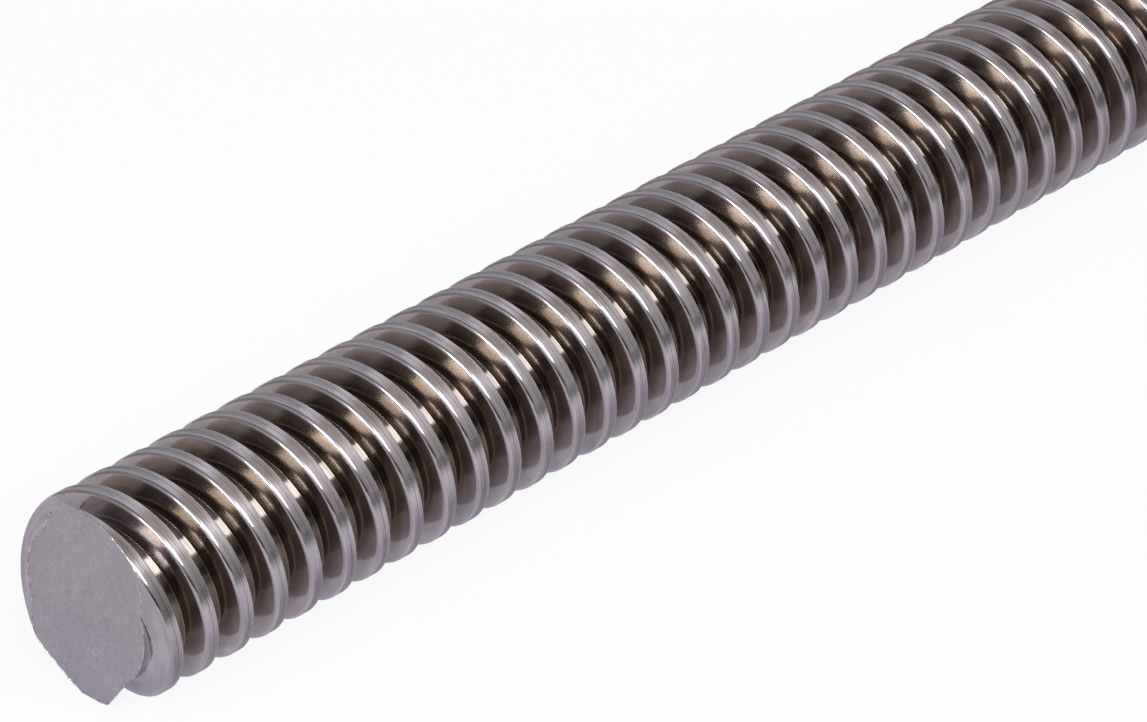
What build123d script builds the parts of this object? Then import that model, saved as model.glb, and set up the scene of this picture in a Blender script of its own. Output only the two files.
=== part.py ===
from build123d import *
import os
from math import ceil, radians, tan

# Trapezoidal lead screw, Tr 24 x 10 P5: a plain sawn length of rolled two-start screw, in one piece.
# It lies along +X, with its origin at the bottom centre of its box. Lengths are in millimetres.

# Driving dimensions
MAJOR_DIAMETER = 24.0
PITCH = 5.0
STARTS = 2
LENGTH = 180.0
FLANK_ANGLE = 15.0          # of each flank, from the plane across the axis
ROOT_CLEARANCE = 0.25       # depth of the thread beyond half a pitch
THREAD_ALLOWANCE = 0.22     # how much thinner each thread is than its standard form
FIRST_CREST_ANGLE = 107.7   # middle of the first start's crest at the near end, from +Y towards +Z
RIM_FLAT_ANGLE = 298.0      # where the rim of the near end is filed flat, from +Y towards +Z
RIM_FLAT_DEPTH = 0.55       # how far that flat cuts into the rim, along the radius and along the axis

# Thread form
LEAD = STARTS * PITCH
MAJOR_RADIUS = MAJOR_DIAMETER / 2
ROOT_CIRCLE = MAJOR_RADIUS - (PITCH / 2 + ROOT_CLEARANCE)
FLANK_SLOPE = tan(radians(FLANK_ANGLE))
CREST_WIDTH = PITCH / 2 - PITCH / 2 * FLANK_SLOPE - THREAD_ALLOWANCE
FLANK_WIDTH = (MAJOR_RADIUS - ROOT_CIRCLE) * FLANK_SLOPE

# The screw is made up its own axis from the near end at zero, and laid along X at the end.
LYING = Plane(origin=(-LENGTH / 2, 0, MAJOR_RADIUS), x_dir=(0, 1, 0), z_dir=(1, 0, 0))


def profile_corners():
    """Axial profile over one lead, as (along, radius), from a crest's edge to the same edge a turn on."""
    corners = []
    for start in range(STARTS):
        edge = start * PITCH - CREST_WIDTH / 2
        corners.append((edge, MAJOR_RADIUS))
        corners.append((edge + CREST_WIDTH, MAJOR_RADIUS))
        corners.append((edge + CREST_WIDTH + FLANK_WIDTH, ROOT_CIRCLE))
        corners.append((edge + PITCH - FLANK_WIDTH, ROOT_CIRCLE))
    corners.append((LEAD - CREST_WIDTH / 2, MAJOR_RADIUS))
    return corners


def helix_turn(along, radius):
    """One right-hand turn of the helix through a corner of the profile."""
    return Pos(0, 0, along) * Edge.make_helix(LEAD, LEAD, radius)


def thread_turn():
    """Crests, flanks and roots of every start over one turn, as ruled faces between their helices."""
    helices = [helix_turn(*corner) for corner in profile_corners()]
    return [Face.make_surface_from_curves(a, b) for a, b in zip(helices, helices[1:])]


def stack_end():
    """The two faces that close a stack of turns: a helicoid in to the axis, and the profile's own plane."""
    corners = profile_corners()
    bottom, top = Vector(0, 0, corners[0][0]), Vector(0, 0, corners[-1][0])
    helicoid = Face.make_surface_from_curves(Edge.make_line(bottom, top), helix_turn(*corners[0]))
    profile = [Vector(radius, 0, along) for along, radius in corners]
    return [helicoid, Face(Wire.make_polygon([bottom, *profile, top]))]


def thread_stack(turns):
    """Whole turns from one lead below zero, sewn into a solid."""
    faces = stack_end() + [face.moved(Pos(0, 0, turns * LEAD)) for face in stack_end()]
    for turn in range(turns):
        faces += [face.moved(Pos(0, 0, turn * LEAD)) for face in thread_turn()]
    return Pos(0, 0, -LEAD) * Solid(Shell(faces))


def rim_flat():
    """What a file takes off the rim of the near end, at 45 degrees."""
    waste = Box(
        MAJOR_RADIUS, MAJOR_DIAMETER, MAJOR_RADIUS, align=(Align.CENTER, Align.CENTER, Align.MIN)
    )
    return Rot(Z=RIM_FLAT_ANGLE) * Pos(MAJOR_RADIUS - RIM_FLAT_DEPTH, 0, 0) * Rot(Y=135) * waste


def lead_screw():
    whole_turns = ceil(LENGTH / LEAD) + 2
    sawn = Cylinder(MAJOR_DIAMETER, LENGTH, align=(Align.CENTER, Align.CENTER, Align.MIN))
    screw = Rot(Z=FIRST_CREST_ANGLE) * thread_stack(whole_turns) & sawn
    screw -= rim_flat()
    return LYING.location * screw


os.makedirs("parts", exist_ok=True)
screw = lead_screw()
export_step(screw, "parts/lead_screw.step")
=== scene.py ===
import bpy
import bmesh
import math
import random
from mathutils import Matrix, Vector

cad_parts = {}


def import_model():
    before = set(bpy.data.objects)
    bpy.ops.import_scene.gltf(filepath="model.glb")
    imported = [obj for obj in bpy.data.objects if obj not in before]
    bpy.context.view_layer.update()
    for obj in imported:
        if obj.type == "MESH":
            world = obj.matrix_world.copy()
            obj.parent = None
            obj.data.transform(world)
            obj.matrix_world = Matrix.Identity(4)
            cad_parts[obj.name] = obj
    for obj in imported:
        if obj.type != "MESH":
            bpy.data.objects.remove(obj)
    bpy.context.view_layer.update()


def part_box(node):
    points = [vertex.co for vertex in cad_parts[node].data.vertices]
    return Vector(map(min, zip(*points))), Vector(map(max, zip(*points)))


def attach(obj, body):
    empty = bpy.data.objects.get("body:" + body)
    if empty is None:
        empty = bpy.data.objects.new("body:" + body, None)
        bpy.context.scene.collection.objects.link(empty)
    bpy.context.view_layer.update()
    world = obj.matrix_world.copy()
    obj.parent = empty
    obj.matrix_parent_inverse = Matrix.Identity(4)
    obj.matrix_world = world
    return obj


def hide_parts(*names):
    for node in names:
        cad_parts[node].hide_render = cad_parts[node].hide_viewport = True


# A two-start trapezoidal lead screw, lying along +X on a pale floor. Lengths are in metres.
# Near is towards its end at -X, and angles round the axis are taken from +Y towards +Z.

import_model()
MM = 0.001

low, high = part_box("lead_screw")
NEAR_END_X = low[0]
FLOOR_Z = low[2]
LENGTH = high[0] - low[0]
RADIUS = min(-low[1], high[1], (high[2] - low[2]) / 2)
AXIS = Vector((0, 0, FLOOR_Z + RADIUS))

# Thread form, as Tr 24 x 10 P5. Places along the axis are taken from the middle of a crest.
PITCH = 5 * MM
STARTS = 2
LEAD = STARTS * PITCH
ROOT_CLEARANCE = 0.25 * MM
DEPTH = PITCH / 2 + ROOT_CLEARANCE
NEAR_FLANK_ANGLE = math.radians(14.05)
FAR_FLANK_ANGLE = math.radians(14.3)
CREST_NEAR = -0.80 * MM
CREST_FAR = 0.88 * MM
# The crest that the near end cuts through lies at this angle round the axis
FIRST_CREST_ANGLE = math.radians(107.7)

# What rolling does to that form
NEAR_FOOT_ROUNDING = 0.03 * MM
CREST_NEAR_ROUNDING = 0.45 * MM
CREST_FAR_ROUNDING = 0.08 * MM
FAR_FOOT_ROUNDING = 0.24 * MM
FAR_FLANK_HOLLOW = 0.12 * MM
ROOT_HOLLOW = 0.03 * MM

# How finely it is drawn: steps round each arc above, and along each flat between them
ARC_STEPS = [2, 6, 2, 4]
FLAT_STEPS = [5, 2, 5, 3, 5]
ARC_MARGIN = 0.05 * MM
STEPS_A_TURN = 56
# A face that looks this nearly along the axis belongs to an end
FACING_ALONG = 0.9999

# The rim of the near end, filed flat in one place and blunted at the sharp tip beside it:
# the way each flat faces, in degrees, and how far from the axis it lies
RIM_FLATS = [(298, RADIUS - 0.55 * MM), (262, 11.80 * MM), (249, 11.62 * MM), (236, 10.98 * MM)]
RIM_FLAT_REACH = 0.55 * MM
SAW_ANGLE = math.radians(38)
# Where the saw has rolled a thin lip of metal out over the groove
LIP_FROM = math.radians(48)
LIP_TO = math.radians(75)
LIP_FADE_IN = math.radians(8)
LIP_FADE_OUT = math.radians(3)
LIP_REACH = math.radians(6)
LIP_UNEVENNESS = (0.8, 1.1)
LIP_SEED = 4
# A point no further than this from the near end's plane lies in it
AT_THE_END = 0.01 * MM
# The seed of the first end's burr; the other end has the next one
BURR_SEED = 3

# The camera: where it looks, and where the middle of the near end lies from it
VIEW_AZIMUTH = math.radians(-45.40)
VIEW_ELEVATION = math.radians(32.62)
LENS = 179.2
NEAR_END_RIGHT = -51.42 * MM
NEAR_END_DOWN = 25.78 * MM
NEAR_END_AHEAD = 601.6 * MM


# ---------------------------------------------------------------- section of the screw

def rounded(before, corner, after, rounding, count):
    """Points of the arc that rounds one corner of the axial profile."""
    back = (before - corner).normalized()
    on = (after - corner).normalized()
    half = back.angle(on) / 2
    centre = corner + (back + on).normalized() * rounding / math.sin(half)
    start = corner + back * rounding / math.tan(half) - centre
    end = corner + on * rounding / math.tan(half) - centre
    sweep = start.angle_signed(end)
    return [centre + Matrix.Rotation(-sweep * i / count, 2) @ start for i in range(count + 1)]


def between(a, b, count):
    """Points that divide the line from a to b, without its ends."""
    return [a.lerp(b, i / count) for i in range(1, count)]


def margin(a, b):
    """A point close to each end of the flat from a to b, so that the arcs keep their own shading."""
    flat = (b - a).normalized() * ARC_MARGIN
    return a + flat, b - flat


def hollowed(point, far_foot, near_foot):
    """Draws the far flank in between its ends, and the root down in its middle."""
    along, radius = point
    depth_share = min(max((RADIUS - radius) / DEPTH, 0), 1)
    half_root = (near_foot + PITCH - far_foot) / 2
    off_middle = point.x - (far_foot + half_root)
    if point.x > 0:
        along -= FAR_FLANK_HOLLOW * 4 * depth_share * (1 - depth_share)
    else:
        off_middle += PITCH
    # Nearly nought as soon as the flank rises from the root
    in_root = depth_share ** 8
    radius -= ROOT_HOLLOW * max(0, 1 - (off_middle / half_root) ** 2) * in_root
    return along, radius


def axial_profile():
    """(along, radius) over one pitch, from the middle of a root to the middle of the next."""
    near_foot = CREST_NEAR - DEPTH * math.tan(NEAR_FLANK_ANGLE)
    far_foot = CREST_FAR + DEPTH * math.tan(FAR_FLANK_ANGLE)
    root = RADIUS - DEPTH
    middle = (far_foot + near_foot + PITCH) / 2
    corners = [
        Vector((middle - PITCH, root)), Vector((near_foot, root)), Vector((CREST_NEAR, RADIUS)),
        Vector((CREST_FAR, RADIUS)), Vector((far_foot, root)), Vector((middle, root)),
    ]
    roundings = [NEAR_FOOT_ROUNDING, CREST_NEAR_ROUNDING, CREST_FAR_ROUNDING, FAR_FOOT_ROUNDING]
    arcs = [[corners[0]]]
    for i, (rounding, steps) in enumerate(zip(roundings, ARC_STEPS), 1):
        arcs.append(rounded(corners[i - 1], corners[i], corners[i + 1], rounding, steps))
    arcs.append([corners[-1]])
    points = []
    for arc, following, count in zip(arcs, arcs[1:], FLAT_STEPS):
        start, end = margin(arc[-1], following[0])
        points += arc + [start] + between(start, end, count) + [end]
    return [hollowed(point, far_foot, near_foot) for point in points]


def section_outline():
    """The section across the axis: each point of the profile carried along its helix to one plane."""
    outline = []
    for start in range(STARTS):
        for along, radius in axial_profile():
            angle = -math.tau * (along + start * PITCH) / LEAD
            outline.append((radius * math.cos(angle), radius * math.sin(angle), 0))
    # Taken the other way round, so that the swept faces point outwards
    return outline[::-1]


# ---------------------------------------------------------------- node helpers

def node(tree, kind, place=(0, 0), **settings):
    made = tree.nodes.new(kind)
    made.location = place
    for name, value in settings.items():
        setattr(made, name, value)
    return made


def join(tree, out, into):
    tree.links.new(out, into)


def group_input(tree, name, kind, value=None):
    """Adds a named input, and returns the identifier by which a modifier knows it."""
    socket = tree.interface.new_socket(name=name, in_out="INPUT", socket_type=kind)
    if value is not None:
        socket.default_value = value
    return socket.identifier


def group_output(tree, name, kind):
    tree.interface.new_socket(name=name, in_out="OUTPUT", socket_type=kind)


def grown(name, line, tree, sockets, settings):
    """The mesh that a geometry tree grows on the closed line through the given points."""
    mesh = bpy.data.meshes.new(name)
    mesh.from_pydata(line, [(i, (i + 1) % len(line)) for i in range(len(line))], [])
    holder = bpy.data.objects.new(name, mesh)
    bpy.context.scene.collection.objects.link(holder)
    modifier = holder.modifiers.new(tree.name, "NODES")
    modifier.node_group = tree
    for setting, value in settings.items():
        modifier[sockets[setting]] = value
    depsgraph = bpy.context.evaluated_depsgraph_get()
    made = bpy.data.meshes.new_from_object(holder.evaluated_get(depsgraph))
    bpy.data.objects.remove(holder)
    return made


# ---------------------------------------------------------------- the screw's mesh

def twisted_bar_tree(material_along, material_across):
    """Sweeps the object's outline along the axis and turns it by one turn a lead."""
    tree = bpy.data.node_groups.new("Twisted bar", "GeometryNodeTree")
    sockets = {}
    group_input(tree, "Outline", "NodeSocketGeometry")
    sockets["Start"] = group_input(tree, "Start", "NodeSocketVector")
    sockets["End"] = group_input(tree, "End", "NodeSocketVector")
    sockets["Lead"] = group_input(tree, "Lead", "NodeSocketFloat", LEAD)
    sockets["Start angle"] = group_input(tree, "Start angle", "NodeSocketFloat", 0.0)
    sockets["Stations"] = group_input(tree, "Stations", "NodeSocketInt", 100)
    group_output(tree, "Bar", "NodeSocketGeometry")

    inputs = node(tree, "NodeGroupInput", (-900, 0))
    outputs = node(tree, "NodeGroupOutput", (1100, 0))
    outline = node(tree, "GeometryNodeMeshToCurve", (-300, -250))
    axis = node(tree, "GeometryNodeCurvePrimitiveLine", (-650, 150))
    stations = node(tree, "GeometryNodeResampleCurve", (-450, 150))
    along = node(tree, "GeometryNodeSplineParameter", (-650, 420))
    turns = node(tree, "ShaderNodeMath", (-450, 420), operation="DIVIDE")
    angle = node(tree, "ShaderNodeMath", (-280, 420), operation="MULTIPLY_ADD")
    angle.inputs[1].default_value = math.tau
    tilt = node(tree, "GeometryNodeSetCurveTilt", (-100, 150))
    sweep = node(tree, "GeometryNodeCurveToMesh", (100, 100))
    sweep.inputs["Fill Caps"].default_value = True
    realize = node(tree, "GeometryNodeRealizeInstances", (280, 100))
    normal = node(tree, "GeometryNodeInputNormal", (100, -200))
    facing = node(tree, "ShaderNodeVectorMath", (280, -200), operation="DOT_PRODUCT")
    facing.inputs[1].default_value = (1, 0, 0)
    size = node(tree, "ShaderNodeMath", (450, -200), operation="ABSOLUTE")
    is_end = node(tree, "FunctionNodeCompare", (620, -200), operation="GREATER_THAN")
    is_end.inputs["B"].default_value = FACING_ALONG
    finish_side = node(tree, "GeometryNodeSetMaterial", (480, 100))
    finish_side.inputs["Material"].default_value = material_along
    finish_end = node(tree, "GeometryNodeSetMaterial", (850, 100))
    finish_end.inputs["Material"].default_value = material_across

    join(tree, inputs.outputs["Outline"], outline.inputs["Mesh"])
    join(tree, inputs.outputs["Start"], axis.inputs["Start"])
    join(tree, inputs.outputs["End"], axis.inputs["End"])
    join(tree, axis.outputs[0], stations.inputs["Curve"])
    join(tree, inputs.outputs["Stations"], stations.inputs["Count"])
    join(tree, stations.outputs[0], tilt.inputs["Curve"])
    join(tree, along.outputs["Length"], turns.inputs[0])
    join(tree, inputs.outputs["Lead"], turns.inputs[1])
    join(tree, turns.outputs[0], angle.inputs[0])
    join(tree, inputs.outputs["Start angle"], angle.inputs[2])
    join(tree, angle.outputs[0], tilt.inputs["Tilt"])
    join(tree, tilt.outputs[0], sweep.inputs["Curve"])
    join(tree, outline.outputs[0], sweep.inputs["Profile Curve"])
    join(tree, sweep.outputs[0], realize.inputs[0])
    join(tree, realize.outputs[0], finish_side.inputs["Geometry"])
    join(tree, finish_side.outputs[0], finish_end.inputs["Geometry"])
    join(tree, normal.outputs[0], facing.inputs[0])
    join(tree, facing.outputs["Value"], size.inputs[0])
    join(tree, size.outputs[0], is_end.inputs["A"])
    join(tree, is_end.outputs[0], finish_end.inputs["Selection"])
    join(tree, finish_end.outputs[0], outputs.inputs["Bar"])
    return tree, sockets


def swept_screw(thread_finish, end_finish):
    """The screw as one mesh, with its thread and its two flat ends."""
    tree, sockets = twisted_bar_tree(thread_finish, end_finish)
    swept = grown("screw_outline", section_outline(), tree, sockets, {
        "Start": Vector((NEAR_END_X, AXIS.y, AXIS.z)),
        "End": Vector((NEAR_END_X + LENGTH, AXIS.y, AXIS.z)),
        "Lead": LEAD,
        # A profile swept along +X starts upside down.
        "Start angle": FIRST_CREST_ANGLE + math.pi,
        "Stations": round(LENGTH / LEAD * STEPS_A_TURN) + 1,
    })
    swept.name = "lead_screw_thread"
    screw = bpy.data.objects.new("screw_bar", swept)
    bpy.context.scene.collection.objects.link(screw)
    return screw


def file_rim_flats(mesh):
    """Draws the rim in along its flats, without moving it out of the end face."""
    near = [vertex for vertex in mesh.vertices if vertex.co.x - NEAR_END_X <= RIM_FLAT_REACH]
    for angle, distance in RIM_FLATS:
        out = Vector((0, math.cos(math.radians(angle)), math.sin(math.radians(angle))))
        for vertex in near:
            excess = (vertex.co - AXIS).dot(out) - distance - (vertex.co.x - NEAR_END_X)
            if excess > 0:
                vertex.co -= out * excess


def roll_lip(mesh):
    """Pushes the near end's edge out over the groove beside it, unevenly, as a saw leaves it."""
    chance = random.Random(LIP_SEED)
    for vertex in mesh.vertices:
        if vertex.co.x - NEAR_END_X > AT_THE_END:
            continue
        spoke = vertex.co - AXIS
        angle = math.atan2(spoke.z, spoke.y)
        share = min(1, (LIP_TO - angle) / LIP_FADE_OUT, (angle - LIP_FROM) / LIP_FADE_IN)
        if share > 0:
            reach = LIP_REACH * share * chance.uniform(*LIP_UNEVENNESS)
            vertex.co = AXIS + Matrix.Rotation(-reach, 3, "X") @ spoke


def end_edges(mesh):
    """Makes the edge of both ends crisp, and returns its points."""
    work = bmesh.new()
    work.from_mesh(mesh)
    edges = []
    for face in work.faces:
        if abs(face.normal.x) > FACING_ALONG and len(face.verts) > 4:
            edges.append([vertex.co.copy() for vertex in face.verts])
            for edge in face.edges:
                edge.smooth = False
    work.to_mesh(mesh)
    work.free()
    return edges


def burr_tree(finish):
    """A thin uneven bead along a closed line."""
    tree = bpy.data.node_groups.new("Sawn burr", "GeometryNodeTree")
    sockets = {}
    group_input(tree, "Line", "NodeSocketGeometry")
    for name, value in (("Spacing", 0.1 * MM), ("Thin", 0.02 * MM), ("Thick", 0.12 * MM),
                        ("Lumps a metre", 1100.0), ("Seed", 0.0)):
        sockets[name] = group_input(tree, name, "NodeSocketFloat", value)
    group_output(tree, "Bead", "NodeSocketGeometry")

    inputs = node(tree, "NodeGroupInput", (-900, 0))
    outputs = node(tree, "NodeGroupOutput", (700, 0))
    line = node(tree, "GeometryNodeMeshToCurve", (-600, 0))
    fine = node(tree, "GeometryNodeResampleCurve", (-400, 0), mode="LENGTH")
    spot = node(tree, "GeometryNodeInputPosition", (-600, -300))
    lumps = node(tree, "ShaderNodeTexNoise", (-400, -300), noise_dimensions="4D")
    lumps.inputs["Detail"].default_value = 2.0
    size = node(tree, "ShaderNodeMapRange", (-200, -300))
    size.inputs["From Min"].default_value = 0.42
    size.inputs["From Max"].default_value = 0.62
    ring = node(tree, "GeometryNodeCurvePrimitiveCircle", (-200, -600))
    ring.inputs["Resolution"].default_value = 6
    ring.inputs["Radius"].default_value = 1.0
    bead = node(tree, "GeometryNodeCurveToMesh", (50, 0))
    realize = node(tree, "GeometryNodeRealizeInstances", (250, 0))
    coat = node(tree, "GeometryNodeSetMaterial", (450, 0))
    coat.inputs["Material"].default_value = finish

    join(tree, inputs.outputs["Line"], line.inputs["Mesh"])
    join(tree, line.outputs[0], fine.inputs["Curve"])
    join(tree, inputs.outputs["Spacing"], fine.inputs["Length"])
    join(tree, spot.outputs[0], lumps.inputs["Vector"])
    join(tree, inputs.outputs["Lumps a metre"], lumps.inputs["Scale"])
    join(tree, inputs.outputs["Seed"], lumps.inputs["W"])
    join(tree, lumps.outputs[0], size.inputs["Value"])
    join(tree, inputs.outputs["Thin"], size.inputs["To Min"])
    join(tree, inputs.outputs["Thick"], size.inputs["To Max"])
    join(tree, fine.outputs[0], bead.inputs["Curve"])
    join(tree, ring.outputs[0], bead.inputs["Profile Curve"])
    join(tree, size.outputs[0], bead.inputs["Scale"])
    join(tree, bead.outputs[0], realize.inputs[0])
    join(tree, realize.outputs[0], coat.inputs["Geometry"])
    join(tree, coat.outputs[0], outputs.inputs["Bead"])
    return tree, sockets


def add_burrs(mesh, finish):
    """Joins the bead of raised metal that sawing leaves to the edge of each end."""
    tree, sockets = burr_tree(finish)
    edges = end_edges(mesh)
    mesh.materials.append(finish)
    burr_slot = len(mesh.materials) - 1
    whole = bmesh.new()
    whole.from_mesh(mesh)
    for seed, edge in enumerate(edges, BURR_SEED):
        bead = grown("end_burr", edge, tree, sockets, {"Seed": float(seed)})
        for vertex in bead.vertices:
            vertex.co.z = max(vertex.co.z, FLOOR_Z)
        known = len(whole.faces)
        whole.from_mesh(bead)
        whole.faces.ensure_lookup_table()
        for face in whole.faces[known:]:
            face.material_index = burr_slot
        bpy.data.meshes.remove(bead)
    whole.to_mesh(mesh)
    whole.free()


# ---------------------------------------------------------------- node helpers for finishes

# The colour sockets of a Mix node, whose other kinds of socket bear the same names
MIX_COLOUR = 6
MIX_OTHER = 7
MIX_RESULT = 2
# The noise of the groups below seldom leaves this range
NOISE_LOW = 0.3
NOISE_HIGH = 0.7


def new_material(name):
    material = bpy.data.materials.new(name)
    material.use_nodes = True
    material.node_tree.nodes.clear()
    return material, material.node_tree


def maths(tree, operation, a, b=None, c=None, place=(0, 0)):
    made = node(tree, "ShaderNodeMath", place, operation=operation)
    for socket, value in zip(made.inputs, (a, b, c)):
        if value is None:
            continue
        if isinstance(value, (int, float)):
            socket.default_value = value
        else:
            join(tree, value, socket)
    return made.outputs[0]


def object_place(tree, place=(0, 0)):
    return node(tree, "ShaderNodeTexCoord", place).outputs["Object"]


def parted(tree, vector, place=(0, 0)):
    """The x, y and z of a vector."""
    made = node(tree, "ShaderNodeSeparateXYZ", place)
    join(tree, vector, made.inputs[0])
    return made.outputs


def dotted(tree, vector, toward, place=(0, 0)):
    """How far a vector goes in the given direction."""
    made = node(tree, "ShaderNodeVectorMath", place, operation="DOT_PRODUCT")
    made.inputs[1].default_value = toward
    join(tree, vector, made.inputs[0])
    return made.outputs["Value"]


def times(tree, vector, factor, place=(0, 0)):
    """A vector or colour made larger or smaller."""
    made = node(tree, "ShaderNodeVectorMath", place, operation="SCALE")
    join(tree, vector, made.inputs[0])
    if isinstance(factor, (int, float)):
        made.inputs["Scale"].default_value = factor
    else:
        join(tree, factor, made.inputs["Scale"])
    return made.outputs[0]


def stretch(tree, value, low_in, high_in, low_out, high_out, place=(0, 0), smooth=False):
    """Carries one range to another, and holds what lies outside it."""
    made = node(tree, "ShaderNodeMapRange", place)
    if smooth:
        made.interpolation_type = "SMOOTHSTEP"
    names = ("From Min", "From Max", "To Min", "To Max")
    for name, number in zip(names, (low_in, high_in, low_out, high_out)):
        made.inputs[name].default_value = number
    join(tree, value, made.inputs["Value"])
    return made.outputs[0]


def spread(tree, noise, lowest, highest, place=(0, 0)):
    """Noise carried to the given range."""
    return stretch(tree, noise, NOISE_LOW, NOISE_HIGH, lowest, highest, place)


def ramp(tree, value, stops, place=(0, 0)):
    """The colour for a value, from stops of (position, colour)."""
    made = node(tree, "ShaderNodeValToRGB", place)
    elements = made.color_ramp.elements
    while len(elements) < len(stops):
        elements.new(0.5)
    for element, (position, colour) in zip(elements, stops):
        element.position = position
        element.color = (*colour, 1)
    join(tree, value, made.inputs[0])
    return made.outputs[0]


def mixed(tree, share, colour, other, place=(0, 0)):
    """A colour, giving way to the other as the share goes to one."""
    made = node(tree, "ShaderNodeMix", place, data_type="RGBA")
    join(tree, share, made.inputs["Factor"])
    join(tree, colour, made.inputs[MIX_COLOUR])
    made.inputs[MIX_OTHER].default_value = (*other, 1)
    return made.outputs[MIX_RESULT]


def use_group(tree, group, place, **values):
    """Places a node group, with each named input set or joined."""
    made = node(tree, "ShaderNodeGroup", place, node_tree=group)
    for name, value in values.items():
        socket = made.inputs[name.replace("_", " ")]
        if isinstance(value, (int, float)):
            socket.default_value = value
        else:
            join(tree, value, socket)
    return made.outputs[0]


def bare_metal(tree, colour, roughness, height=None, relief=0.0, place=(900, 0)):
    """Metal of the given colour and roughness, with a fine relief where a height is given."""
    shader = node(tree, "ShaderNodeBsdfPrincipled", place)
    shader.inputs["Metallic"].default_value = 1
    join(tree, colour, shader.inputs["Base Color"])
    join(tree, roughness, shader.inputs["Roughness"])
    if height is not None:
        bump = node(tree, "ShaderNodeBump", (place[0] - 200, place[1] - 300))
        bump.inputs["Distance"].default_value = relief
        join(tree, height, bump.inputs["Height"])
        join(tree, bump.outputs[0], shader.inputs["Normal"])
    output = node(tree, "ShaderNodeOutputMaterial", (place[0] + 300, place[1]))
    join(tree, shader.outputs[0], output.inputs["Surface"])


# ---------------------------------------------------------------- patterns that finishes share

def fine_lines_group():
    """Drawn or sawn lines: quick changes across, slow ones along."""
    tree = bpy.data.node_groups.new("Fine lines", "ShaderNodeTree")
    group_input(tree, "Place", "NodeSocketVector")
    group_input(tree, "Across", "NodeSocketFloat", 0.0)
    group_input(tree, "Lines a millimetre", "NodeSocketFloat", 2.5)
    group_input(tree, "Line length", "NodeSocketFloat", 8.0)
    group_output(tree, "Lines", "NodeSocketFloat")
    inputs = node(tree, "NodeGroupInput", (-800, 0))
    outputs = node(tree, "NodeGroupOutput", (300, 0))
    shrink = maths(tree, "DIVIDE", 1.0, inputs.outputs["Line length"], place=(-550, -150))
    slow = times(tree, inputs.outputs["Place"], shrink, (-350, 0))
    density = inputs.outputs["Lines a millimetre"]
    quick = maths(tree, "MULTIPLY", inputs.outputs["Across"], density, place=(-350, -250))
    noise = node(tree, "ShaderNodeTexNoise", (0, 0), noise_dimensions="4D")
    noise.inputs["Scale"].default_value = 1.0
    noise.inputs["Detail"].default_value = 3.0
    noise.inputs["Roughness"].default_value = 0.6
    join(tree, slow, noise.inputs["Vector"])
    join(tree, quick, noise.inputs["W"])
    join(tree, noise.outputs[0], outputs.inputs["Lines"])
    return tree


def mottling_group():
    """Soft patches, as handling and old oil leave on steel."""
    tree = bpy.data.node_groups.new("Mottling", "ShaderNodeTree")
    group_input(tree, "Place", "NodeSocketVector")
    group_input(tree, "Patch size", "NodeSocketFloat", 5.0)
    group_output(tree, "Mottling", "NodeSocketFloat")
    inputs = node(tree, "NodeGroupInput", (-600, 0))
    outputs = node(tree, "NodeGroupOutput", (300, 0))
    scale = maths(tree, "DIVIDE", 1.0, inputs.outputs["Patch size"], place=(-350, -150))
    noise = node(tree, "ShaderNodeTexNoise", (0, 0))
    noise.inputs["Detail"].default_value = 3.0
    join(tree, inputs.outputs["Place"], noise.inputs["Vector"])
    join(tree, scale, noise.inputs["Scale"])
    join(tree, noise.outputs[0], outputs.inputs["Mottling"])
    return tree


# ---------------------------------------------------------------- finishes

# Rolling seams on the crest, a dark one and two fainter ones: the middle of each and half its
# width, in millimetres across from the crest's middle, and its strength
SEAMS = [(0.21, 0.11, 1.0), (-0.05, 0.05, 0.4), (0.50, 0.05, 0.35)]
SEAM_WANDER = 0.03
SEAM_DARKNESS = 0.85
# The thread's colours, browner down in the groove, by their share of the way from root to crest
THREAD_COLOURS = [
    (0.0, (0.345, 0.29, 0.25)),
    (0.15, (0.335, 0.275, 0.24)),
    (0.32, (0.36, 0.31, 0.29)),
    (0.55, (0.435, 0.385, 0.375)),
    (0.90, (0.56, 0.50, 0.49)),
    (0.98, (0.68, 0.63, 0.685)),
]
# The cleaner steel beside each end, and how far from the end it gives way
CLEAN_COLOUR = (0.58, 0.53, 0.57)
CLEAN_WITHIN = 2.2 * MM
STAINED_BEYOND = 3.2 * MM
THREAD_RELIEF = 0.002 * MM
SAWN_COLOURS = [(0.3, (0.545, 0.49, 0.54)), (0.7, (0.605, 0.55, 0.59))]
SAWN_RELIEF = 0.012 * MM
TORN_COLOURS = [(0.4, (0.45, 0.41, 0.44)), (0.6, (0.88, 0.85, 0.87))]
TORN_GRAINS_A_METRE = 1500


def thread_place(tree, spot):
    """Where a point lies on the thread: millimetres across from the crest's middle, and its share
    of the way from root to crest."""
    x, y, z = parted(tree, spot, (-1500, 0))
    height = maths(tree, "SUBTRACT", z, AXIS.z, place=(-1300, -150))
    angle = maths(tree, "ARCTAN2", height, y, place=(-1100, -50))
    first_crest = LEAD * FIRST_CREST_ANGLE / math.tau - NEAR_END_X
    turned = maths(tree, "MULTIPLY_ADD", angle, -LEAD / math.tau, first_crest, place=(-900, -50))
    along = maths(tree, "ADD", x, turned, place=(-700, 0))
    across = maths(tree, "WRAP", along, PITCH / 2, -PITCH / 2, place=(-500, 0))
    across = maths(tree, "MULTIPLY", across, 1 / MM, place=(-300, 0))
    squares = maths(tree, "MULTIPLY", height, height, place=(-1100, -250))
    squares = maths(tree, "MULTIPLY_ADD", y, y, squares, place=(-900, -250))
    radius = maths(tree, "SQRT", squares, place=(-700, -250))
    crest_share = maths(tree, "SUBTRACT", radius, RADIUS - DEPTH, place=(-500, -250))
    crest_share = maths(tree, "DIVIDE", crest_share, DEPTH, place=(-300, -250))
    return across, crest_share


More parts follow.
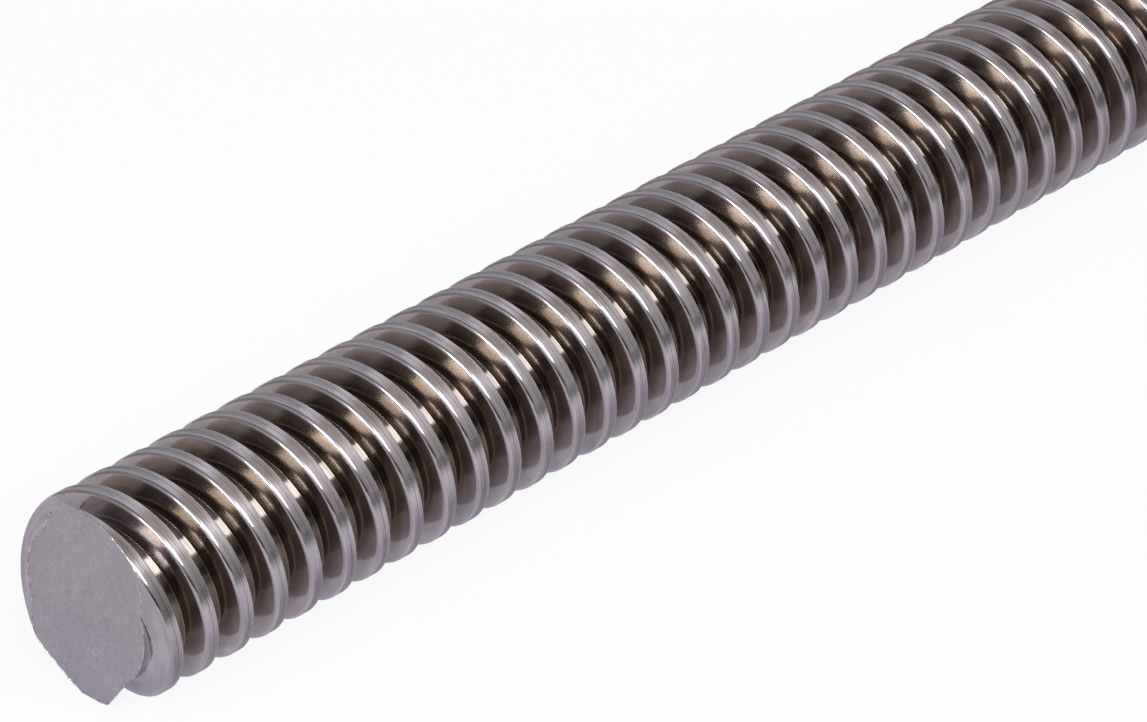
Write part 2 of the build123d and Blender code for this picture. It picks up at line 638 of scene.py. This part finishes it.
def rolling_seams(tree, across, crest_share, patches):
    """Seams along the crest that wander a little and fade here and there."""
    wander = spread(tree, patches, -SEAM_WANDER, SEAM_WANDER, (-100, 900))
    seams = 0.0
    for middle, half_width, strength in SEAMS:
        off = maths(tree, "SUBTRACT", across, middle, place=(100, 900))
        off = maths(tree, "SUBTRACT", off, wander, place=(250, 900))
        off = maths(tree, "ABSOLUTE", off, place=(400, 900))
        seam = stretch(tree, off, half_width / 2, half_width, strength, 0, (550, 900), smooth=True)
        seams = maths(tree, "MAXIMUM", seams, seam, place=(700, 900))
    on_crest = stretch(tree, crest_share, 0.97, 0.995, 0, 1, (-100, 350))
    unbroken = stretch(tree, patches, 0.42, 0.62, 1, 0.3, (100, 500))
    shown = maths(tree, "MULTIPLY", on_crest, unbroken, place=(700, 700))
    return maths(tree, "MULTIPLY", seams, shown, place=(800, 800))


def rolled_steel(fine_lines, mottling):
    """The thread: bright crests, browner roots, and the fine lines and seams that rolling leaves."""
    material, tree = new_material("rolled_steel")
    spot = object_place(tree, (-1700, 0))
    across, crest_share = thread_place(tree, spot)
    place = times(tree, spot, 1 / MM, (-900, 500))
    lines = use_group(tree, fine_lines, (-300, 500), Place=place, Across=across,
                      Lines_a_millimetre=3.2, Line_length=7.0)
    patches = use_group(tree, mottling, (-300, 700), Place=place, Patch_size=3.5)
    seams = rolling_seams(tree, across, crest_share, patches)

    colour = ramp(tree, crest_share, THREAD_COLOURS, (-100, 200))
    from_middle = maths(tree, "ABSOLUTE", parted(tree, spot, (-500, 150))[0], place=(-300, 0))
    clean = stretch(tree, from_middle, LENGTH / 2 - STAINED_BEYOND, LENGTH / 2 - CLEAN_WITHIN, 0, 1,
                    (-100, 0))
    colour = mixed(tree, clean, colour, CLEAN_COLOUR, (100, 200))
    line_tone = spread(tree, lines, 0.80, 1.18, (100, 300))
    patch_tone = spread(tree, patches, 0.93, 1.07, (100, 650))
    seam_tone = maths(tree, "MULTIPLY_ADD", seams, -SEAM_DARKNESS, 1.0, place=(300, 600))
    tone = maths(tree, "MULTIPLY", line_tone, patch_tone, place=(300, 300))
    tone = maths(tree, "MULTIPLY", tone, seam_tone, place=(500, 300))
    height = maths(tree, "SUBTRACT", lines, seams, place=(500, -300))
    roughness = spread(tree, patches, 0.09, 0.15, (300, -100))
    bare_metal(tree, times(tree, colour, tone, (700, 200)), roughness, height, THREAD_RELIEF)
    return material


def sawn_steel(fine_lines, mottling):
    """The cut ends: saw strokes all one way, over soft patches."""
    material, tree = new_material("sawn_steel")
    place = times(tree, object_place(tree, (-1300, 0)), 1 / MM, (-1100, 0))
    over = dotted(tree, place, (0, -math.sin(SAW_ANGLE), math.cos(SAW_ANGLE)), (-900, -150))
    strokes = use_group(tree, fine_lines, (-650, 100), Place=place, Across=over,
                        Lines_a_millimetre=8.0, Line_length=0.6)
    patches = use_group(tree, mottling, (-650, -150), Place=place, Patch_size=7.0)
    colour = ramp(tree, patches, SAWN_COLOURS, (-350, 0))
    tone = spread(tree, strokes, 0.78, 1.22, (-350, 200))
    roughness = spread(tree, strokes, 0.36, 0.48, (-350, -200))
    bare_metal(tree, times(tree, colour, tone, (0, 100)), roughness, strokes, SAWN_RELIEF)
    return material


def torn_edge():
    """The burr: freshly torn, brighter steel."""
    material, tree = new_material("torn_edge")
    grain = node(tree, "ShaderNodeTexNoise", (-600, 0))
    grain.inputs["Scale"].default_value = TORN_GRAINS_A_METRE
    join(tree, object_place(tree, (-800, 0)), grain.inputs["Vector"])
    colour = ramp(tree, grain.outputs[0], TORN_COLOURS, (-350, 0))
    roughness = stretch(tree, grain.outputs[0], 0.4, 0.6, 0.45, 0.28, (-350, -200))
    bare_metal(tree, colour, roughness)
    return material


# ---------------------------------------------------------------- floor

# What the steel sees of the floor, a painted reflection: it glows for reflected rays only, with painted
# shade under and just in front of the screw, and dark well in front. Millimetres behind the screw's axis
# (below nought for in front of it), and the colour there
FLOOR_SHEEN = [
    (100, (0.62, 0.58, 0.59)),
    (0, (0.50, 0.49, 0.59)),
    (-8, (0.54, 0.52, 0.60)),
    (-12, (0.44, 0.41, 0.455)),
    (-18, (0.41, 0.375, 0.42)),
    (-30, (0.525, 0.49, 0.515)),
    (-45, (0.61, 0.58, 0.60)),
    (-60, (0.46, 0.43, 0.44)),
    (-100, (0.11, 0.10, 0.10)),
]
# The same beyond the near end, where it is one colour
END_SHEEN = (0.53, 0.50, 0.54)
FLOOR_HALF_WIDTH = 3.0
FLOOR_COLOUR = (0.85, 0.85, 0.86, 1)
# How much of what the camera sees is plain white, and of what the steel sees is that sheen
WHITE_SHARE = 0.9
SHEEN_SHARE = 0.85


def floor_sheen(tree):
    """The painted reflection that the steel sees of the floor, in bands along the screw."""
    x, y, _ = parted(tree, object_place(tree, (-1200, -200)), (-1000, -200))
    back = FLOOR_SHEEN[0][0]
    front = FLOOR_SHEEN[-1][0]
    forward = stretch(tree, y, back * MM, front * MM, 0, 1, (-800, -200))
    stops = [((back - behind) / (back - front), colour) for behind, colour in FLOOR_SHEEN]
    sheen = ramp(tree, forward, stops, (-600, -200))
    beyond_end = stretch(tree, x, NEAR_END_X - 1 * MM, NEAR_END_X - 6 * MM, 0, 1, (-600, -500))
    return mixed(tree, beyond_end, sheen, END_SHEEN, (-400, -300))


def floor():
    """A white floor with a faint shadow. To the steel it glows as a painted reflection, greyer, with
    painted shade under and just in front of the screw, and dark well in front of it.
    """
    mesh = bpy.data.meshes.new("floor")
    side = FLOOR_HALF_WIDTH
    mesh.from_pydata([(-side, -side, 0), (side, -side, 0), (side, side, 0), (-side, side, 0)], [],
                     [(0, 1, 2, 3)])
    plane = bpy.data.objects.new("floor", mesh)
    bpy.context.scene.collection.objects.link(plane)
    material, tree = new_material("pale_floor")
    diffuse = node(tree, "ShaderNodeBsdfDiffuse", (-200, 0))
    diffuse.inputs["Color"].default_value = FLOOR_COLOUR
    white = node(tree, "ShaderNodeEmission", (-200, -150))
    seen = node(tree, "ShaderNodeEmission", (-200, -300))
    join(tree, floor_sheen(tree), seen.inputs["Color"])
    path = node(tree, "ShaderNodeLightPath", (-600, 200))
    to_camera = maths(tree, "MULTIPLY", path.outputs["Is Camera Ray"], WHITE_SHARE, place=(-400, 200))
    to_steel = maths(tree, "MULTIPLY", path.outputs["Is Glossy Ray"], SHEEN_SHARE, place=(-400, 50))
    camera_mix = node(tree, "ShaderNodeMixShader", (0, 0))
    steel_mix = node(tree, "ShaderNodeMixShader", (200, 0))
    output = node(tree, "ShaderNodeOutputMaterial", (400, 0))
    join(tree, to_camera, camera_mix.inputs[0])
    join(tree, diffuse.outputs[0], camera_mix.inputs[1])
    join(tree, white.outputs[0], camera_mix.inputs[2])
    join(tree, to_steel, steel_mix.inputs[0])
    join(tree, camera_mix.outputs[0], steel_mix.inputs[1])
    join(tree, seen.outputs[0], steel_mix.inputs[2])
    join(tree, steel_mix.outputs[0], output.inputs["Surface"])
    mesh.materials.append(material)


# ---------------------------------------------------------------- light

def compass(azimuth, elevation):
    """A direction from its angle around from +X, and its angle up, in degrees."""
    azimuth = math.radians(azimuth)
    elevation = math.radians(elevation)
    flat = math.cos(elevation)
    return Vector((flat * math.cos(azimuth), flat * math.sin(azimuth), math.sin(elevation)))


SOFTBOXES = [
    # name, azimuth, elevation, width, height, radiance, tint
    ("left_softbox", -163, 34, 0.36, 0.42, 8.0, (0.86, 1.0, 0.90)),
    ("front_softbox", -84.4, 41.7, 0.50, 0.41, 5.8, (0.87, 1.0, 1.10)),
]

GLOWS = [
    # azimuth, elevation, full within, gone beyond, strength (below nought for a darker patch)
    (-146, 44, 15, 34, 0.92),
    (-59, 47, 6, 15, 1.1),
    (8, 21, 4, 13, 1.15),
    (-50, 41, 5, 22, 0.22),
    (20, 46, 3, 15, 0.26),
    (162, 40, 4, 14, 0.12),
    (50, 22, 18, 40, 0.13),
    (137, 78, 12, 36, -0.20),
    (110, 22, 20, 60, -0.13),
    (-103, 21, 7, 32, -0.12),
]
ROOM_STRENGTH = 0.42
FRONT_DARKNESS = 0.29
ROOM_COLOUR = (0.97, 0.975, 1.0)
WARM_COLOUR = (1.0, 0.90, 0.82)
FRONT_WARMTH = 0.6


def softbox(name, azimuth, elevation, width, height, radiance, tint):
    """A lamp a metre from the screw's middle, facing it."""
    toward = compass(azimuth, elevation)
    lamp = bpy.data.lights.new(name, "AREA")
    lamp.shape = "RECTANGLE"
    lamp.size = width
    lamp.size_y = height
    lamp.energy = radiance * math.pi * width * height
    lamp.color = tint
    holder = bpy.data.objects.new(name, lamp)
    bpy.context.scene.collection.objects.link(holder)
    holder.location = AXIS + toward
    side = Vector((-toward.y, toward.x, 0)).normalized()
    holder.rotation_euler = Matrix((side, toward.cross(side), toward)).transposed().to_euler()


def lobe(tree, direction, azimuth, elevation, inner, outer, place):
    """One towards the given direction, falling smoothly to nought from inner to outer degrees off it."""
    facing = dotted(tree, direction, compass(azimuth, elevation), place)
    full = math.cos(math.radians(inner))
    gone = math.cos(math.radians(outer))
    return stretch(tree, facing, gone, full, 0, 1, (place[0] + 180, place[1]), smooth=True)


def room_strength(tree, direction):
    """A dim room with soft glows and darker patches in it, darkest low in front."""
    in_front = lobe(tree, direction, -99, 0, 11, 57, (-800, -500))
    up = parted(tree, direction, (-1000, -300))[2]
    near_floor = stretch(tree, up, 0.11, 0.46, 1, 0, (-600, -300), smooth=True)
    dark = maths(tree, "MULTIPLY", in_front, near_floor, place=(-400, -400))
    strength = maths(tree, "MULTIPLY_ADD", dark, -FRONT_DARKNESS, ROOM_STRENGTH, (-200, -300))
    for row, (azimuth, elevation, inner, outer, glow_strength) in enumerate(GLOWS):
        glow = lobe(tree, direction, azimuth, elevation, inner, outer, (-800, 200 * row))
        strength = maths(tree, "MULTIPLY_ADD", glow, glow_strength, strength, (-400 + 150 * row, 200 * row))
    return strength


def room_colour(tree, direction):
    """Cool, and warmer in one patch above and in a broad one low in front."""
    above = lobe(tree, direction, -18, 52, 6, 26, (0, -700))
    front = lobe(tree, direction, -62, 8, 15, 50, (0, -900))
    front = maths(tree, "MULTIPLY", front, FRONT_WARMTH, place=(400, -900))
    warmth = maths(tree, "MAXIMUM", above, front, place=(500, -700))
    return ramp(tree, warmth, [(0.0, ROOM_COLOUR), (1.0, WARM_COLOUR)], (650, -400))


def world():
    """White to the camera, and to all else a room round the screw."""
    surround = bpy.data.worlds.new("studio")
    bpy.context.scene.world = surround
    surround.use_nodes = True
    tree = surround.node_tree
    tree.nodes.clear()
    direction = node(tree, "ShaderNodeTexCoord", (-1200, 0)).outputs["Generated"]
    room = node(tree, "ShaderNodeBackground", (1300, 0))
    white = node(tree, "ShaderNodeBackground", (1300, -150))
    white.inputs["Color"].default_value = (1, 1, 1, 1)
    path = node(tree, "ShaderNodeLightPath", (1300, 300))
    mix = node(tree, "ShaderNodeMixShader", (1500, 0))
    output = node(tree, "ShaderNodeOutputWorld", (1700, 0))
    join(tree, room_strength(tree, direction), room.inputs["Strength"])
    join(tree, room_colour(tree, direction), room.inputs["Color"])
    join(tree, path.outputs["Is Camera Ray"], mix.inputs[0])
    join(tree, room.outputs[0], mix.inputs[1])
    join(tree, white.outputs[0], mix.inputs[2])
    join(tree, mix.outputs[0], output.inputs["Surface"])


# ---------------------------------------------------------------- camera

def camera():
    """Stands where the near end lies the given way from it, seen along the given angles."""
    flat = math.cos(VIEW_ELEVATION)
    back = Vector((math.sin(VIEW_AZIMUTH) * flat, -math.cos(VIEW_AZIMUTH) * flat, math.sin(VIEW_ELEVATION)))
    right = Vector((math.cos(VIEW_AZIMUTH), math.sin(VIEW_AZIMUTH), 0))
    up = back.cross(right)
    near_end = Vector((NEAR_END_X, AXIS.y, AXIS.z))
    data = bpy.data.cameras.new("camera")
    data.lens = LENS
    data.sensor_width = 36
    data.clip_start = 0.01
    data.clip_end = 20
    holder = bpy.data.objects.new("camera", data)
    holder.location = near_end - right * NEAR_END_RIGHT + up * NEAR_END_DOWN + back * NEAR_END_AHEAD
    holder.rotation_euler = Matrix((right, up, back)).transposed().to_euler()
    bpy.context.scene.collection.objects.link(holder)
    bpy.context.scene.camera = holder


# ---------------------------------------------------------------- the whole scene

def lead_screw():
    fine_lines = fine_lines_group()
    mottling = mottling_group()
    sawn = sawn_steel(fine_lines, mottling)
    screw = swept_screw(rolled_steel(fine_lines, mottling), sawn)
    file_rim_flats(screw.data)
    roll_lip(screw.data)
    add_burrs(screw.data, torn_edge())
    screw.data.update()
    for polygon in screw.data.polygons:
        polygon.use_smooth = len(polygon.vertices) == 4
    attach(screw, "root")
    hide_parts("lead_screw")


lead_screw()
floor()
for lamp in SOFTBOXES:
    softbox(*lamp)
world()
camera()
bpy.context.scene.view_settings.view_transform = "Standard"
